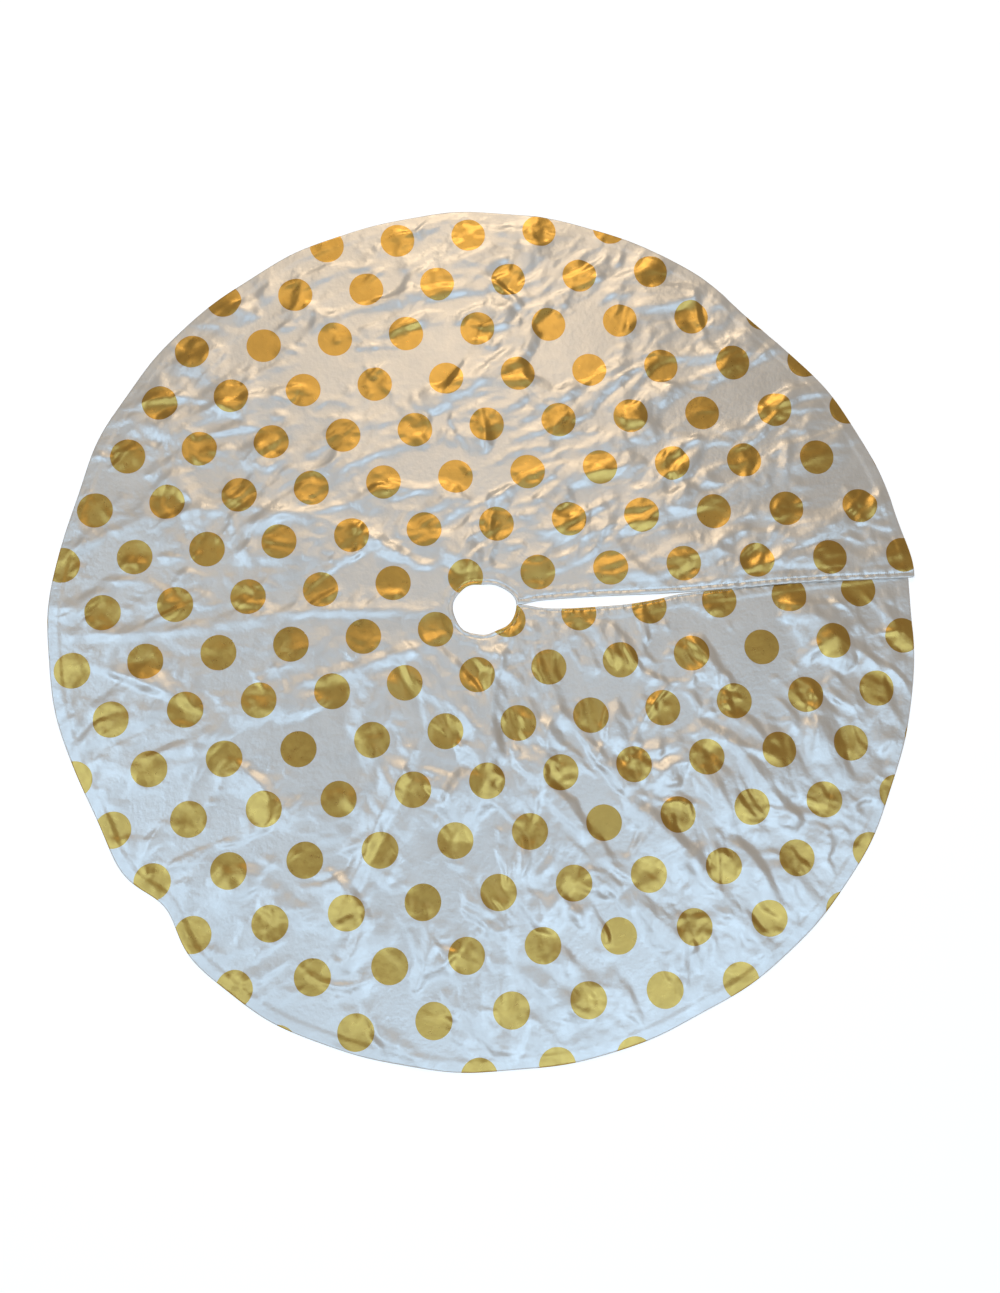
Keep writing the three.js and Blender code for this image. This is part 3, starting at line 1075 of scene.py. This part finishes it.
def rim_row(half):
    """The joining thread round the rim of one half."""
    edge, rim = slit_edge(half), half_rim(half)
    start = angle_at(edge, crossing_x(edge, rim))
    end = angle_at(fold_y, crossing_x(fold_y, rim_radius, -1))
    return sweep(rim, start, end + round_turn(half), ROW_STEP)


def gather_rows(rows):
    """Sorts (half, points on the cloth) rows into runs for each region."""
    runs = {}
    for half, flat, points in rows:
        for label, part in split_by_region(half, flat):
            runs.setdefault(str(label), []).append(points[part])
    return runs


# ---- The stage ----

# The camera: its right and its viewing direction, its place and its lens and sensor in millimetres.
CAMERA_RIGHT = (0.9948, -0.0972, 0.0302)
CAMERA_AHEAD = (0.0423, 0.1247, -0.9913)
CAMERA_PLACE = (-0.042, -0.2296, 1.388)
CAMERA_LENS = 27.84
CAMERA_SENSOR = 36

WINDOW_LIGHT = (0.42, 0.68, 1.0)
ROOM_LIGHT = (1.0, 0.88, 0.74)
ROOM_STRENGTH = 0.32
FLOOR_SIZE = 14
FLOOR_GLOW = 0.4
# Lights: name, place, what it faces, width, height, watts, colour.
LIGHTS = (
    ("window", (1.5, -1.6, 3.2), (0, -0.1, 0), 2.8, 2.0, 35, WINDOW_LIGHT),
    ("front_window", (-0.6, -2.1, 3.2), (0, -0.1, 0), 2.6, 1.6, 23, WINDOW_LIGHT),
    ("skylight", (0.35, -0.20, 3.0), (0.1, -0.2, 0), 2.0, 0.7, 4.0, WINDOW_LIGHT),
    ("side_window", (-2.4, -0.3, 3.0), (-0.1, 0, 0), 2.6, 2.0, 36, WINDOW_LIGHT),
    ("ceiling", (-0.05, 1.25, 2.1), (0.0, 0.2, 0), 1.6, 0.9, 4.4, (1.0, 0.82, 0.60)),
    ("lamp", (0.25, 1.15, 2.1), (0.1, 0.2, 0), 0.5, 0.5, 1.2, (1.0, 0.78, 0.55)),
    ("back_lamp", (0.1, 3.0, 2.2), (0, 0.1, 0), 1.6, 1.2, 20, (1.0, 0.80, 0.56)),
)


# ---- Operators ----

class SKIRT_OT_stage(bpy.types.Operator):
    """Make the camera, the lights and the pale floor"""
    bl_idname = "skirt.make_stage"
    bl_label = "Stage"

    def execute(self, context):
        self.camera(context)
        self.floor()
        for light in LIGHTS:
            self.area(*light)
        self.room()
        return {"FINISHED"}

    def camera(self, context):
        right = Vector(CAMERA_RIGHT).normalized()
        ahead = Vector(CAMERA_AHEAD).normalized()
        up = right.cross(ahead).normalized()
        data = bpy.data.cameras.new("camera")
        data.sensor_width = CAMERA_SENSOR
        data.lens = CAMERA_LENS
        camera = bpy.data.objects.new("camera", data)
        turn = Matrix((right, up, -ahead)).transposed()
        camera.matrix_world = Matrix.Translation(CAMERA_PLACE) @ turn.to_4x4()
        context.collection.objects.link(camera)
        context.scene.camera = camera
        context.scene.view_settings.view_transform = "Standard"

    def floor(self):
        bpy.ops.mesh.primitive_plane_add(size=FLOOR_SIZE, location=(0, 0, 0))
        floor = bpy.context.object
        floor.name = "floor"
        material, tree, shader = material_nodes("floor")
        shader.inputs["Base Color"].default_value = (*colours().floor, 1)
        shader.inputs["Roughness"].default_value = 0.9
        shader.inputs["Specular IOR Level"].default_value = 0.1
        shader.inputs["Emission Color"].default_value = (1, 1, 1, 1)
        shader.inputs["Emission Strength"].default_value = FLOOR_GLOW
        floor.data.materials.append(material)

    def room(self):
        world = bpy.data.worlds.new("room")
        world.use_nodes = True
        background = world.node_tree.nodes["Background"]
        background.inputs["Color"].default_value = (*ROOM_LIGHT, 1)
        background.inputs["Strength"].default_value = ROOM_STRENGTH
        bpy.context.scene.world = world

    def area(self, name, place, target, width, height, power, colour):
        data = bpy.data.lights.new(name, "AREA")
        data.shape = "RECTANGLE"
        data.size, data.size_y = width, height
        data.energy = power
        data.color = colour
        lamp = bpy.data.objects.new(name, data)
        turn = (Vector(target) - Vector(place)).to_track_quat("-Z", "Y")
        lamp.matrix_world = Matrix.Translation(place) @ turn.to_matrix().to_4x4()
        bpy.context.collection.objects.link(lamp)


REGIONS = ("front", "fold", "back", "bend", "flap")
FOIL_RAISE = 0.00008
# Topstitches: height of the thread's middle over the cloth and its width in threads, length in pitches.
THREAD_HEIGHT = 0.35
THREAD_WIDTH = 1.3
STITCH_SHARE = 0.84
# Joining thread: pitch, length and width.
SEAM_STITCH = (0.0024, 0.0022, 0.0004)


class SKIRT_OT_lining(bpy.types.Operator):
    """Make the lining, in one piece for each panel and each bend"""
    bl_idname = "skirt.make_lining"
    bl_label = "Lining"

    def execute(self, context):
        cloth = laid_cloth("lining")
        for region in REGIONS:
            mask = cloth.region == region
            piece = cloth_piece("lining_" + region, cloth, mask, finish("lining_cloth"), underside=True)
            if region in BODIES:
                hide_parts(region + "_lining")
            hang(piece, region)
        return {"FINISHED"}


class SKIRT_OT_face(bpy.types.Operator):
    """Make the satin face with its foil dots, in one piece for each panel and each bend"""
    bl_idname = "skirt.make_face"
    bl_label = "Face and foil dots"

    def execute(self, context):
        cloth = laid_cloth("face")
        for region in REGIONS:
            mask = cloth.region == region
            piece = cloth_piece("satin_" + region, cloth, mask, finish("satin"))
            foil = cloth_piece("foil_" + region, cloth, mask & cloth.dot, finish("gold_foil"), FOIL_RAISE)
            if region in BODIES:
                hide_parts(region + "_face")
            hang(piece, region)
            hang(foil, region)
        return {"FINISHED"}


class SKIRT_OT_topstitch(bpy.types.Operator):
    """Make the topstitching beside the slit and round the neck"""
    bl_idname = "skirt.make_topstitch"
    bl_label = "Topstitching"

    def execute(self, context):
        rows = []
        for half in ("front", "back"):
            inset = stitch_inset(half)
            for flat in (slit_row(half, inset), neck_row(half, sizes().neck_inset, inset)):
                rows.append((half, flat, on_cloth(half, flat, THREAD_HEIGHT * sizes().thread)))
        replaced = {
            "front": ("front_slit_topstitch", "front_neck_topstitch"),
            "back": ("back_neck_topstitch",),
            "flap": ("flap_slit_topstitch",),
        }
        shape = (STITCH, STITCH_SHARE * STITCH, sizes().thread * THREAD_WIDTH)
        for region, paths in gather_rows(rows).items():
            piece = stitched_piece("topstitch_" + region, paths, *shape)
            if region in replaced:
                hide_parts(*replaced[region])
            hang(piece, region)
        return {"FINISHED"}


class SKIRT_OT_seam(bpy.types.Operator):
    """Make the joining thread in the groove between face and lining"""
    bl_idname = "skirt.make_seam"
    bl_label = "Joining seam"

    def execute(self, context):
        rows = []
        for half in ("front", "back"):
            for flat in (rim_row(half), slit_row(half, 0.0), neck_row(half, 0.0, 0.0)):
                rows.append((half, flat, on_cloth(half, flat, 0.0)))
        replaced = {
            "front": ("front_rim_seam", "front_slit_seam", "front_neck_seam"),
            "back": ("back_rim_seam", "back_neck_seam"),
            "flap": ("flap_rim_seam", "flap_slit_seam"),
        }
        for region, paths in gather_rows(rows).items():
            piece = stitched_piece("seam_" + region, paths, *SEAM_STITCH)
            if region in replaced:
                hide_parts(*replaced[region])
            hang(piece, region)
        return {"FINISHED"}


class SKIRT_PT_panel(bpy.types.Panel):
    """Lists the steps that build the skirt"""
    bl_idname = "SKIRT_PT_panel"
    bl_label = "Tree Skirt"
    bl_space_type = "VIEW_3D"
    bl_region_type = "UI"
    bl_category = "Tree Skirt"

    def draw(self, context):
        layout = self.layout
        for group in (context.scene.skirt_sizes, context.scene.skirt_colours):
            for name in group.__annotations__:
                layout.prop(group, name)
        for operator in OPERATORS:
            layout.operator(operator.bl_idname)


OPERATORS = (SKIRT_OT_stage, SKIRT_OT_lining, SKIRT_OT_face, SKIRT_OT_topstitch, SKIRT_OT_seam)
CLASSES = (SkirtSizes, SkirtColours, *OPERATORS, SKIRT_PT_panel)


def register():
    for cls in CLASSES:
        bpy.utils.register_class(cls)
    bpy.types.Scene.skirt_sizes = PointerProperty(type=SkirtSizes)
    bpy.types.Scene.skirt_colours = PointerProperty(type=SkirtColours)


def unregister():
    del bpy.types.Scene.skirt_colours
    del bpy.types.Scene.skirt_sizes
    for cls in reversed(CLASSES):
        bpy.utils.unregister_class(cls)


def main():
    register()
    for operator in OPERATORS:
        group, name = operator.bl_idname.split(".")
        getattr(getattr(bpy.ops, group), name)()


if __name__ == "__main__":
    main()
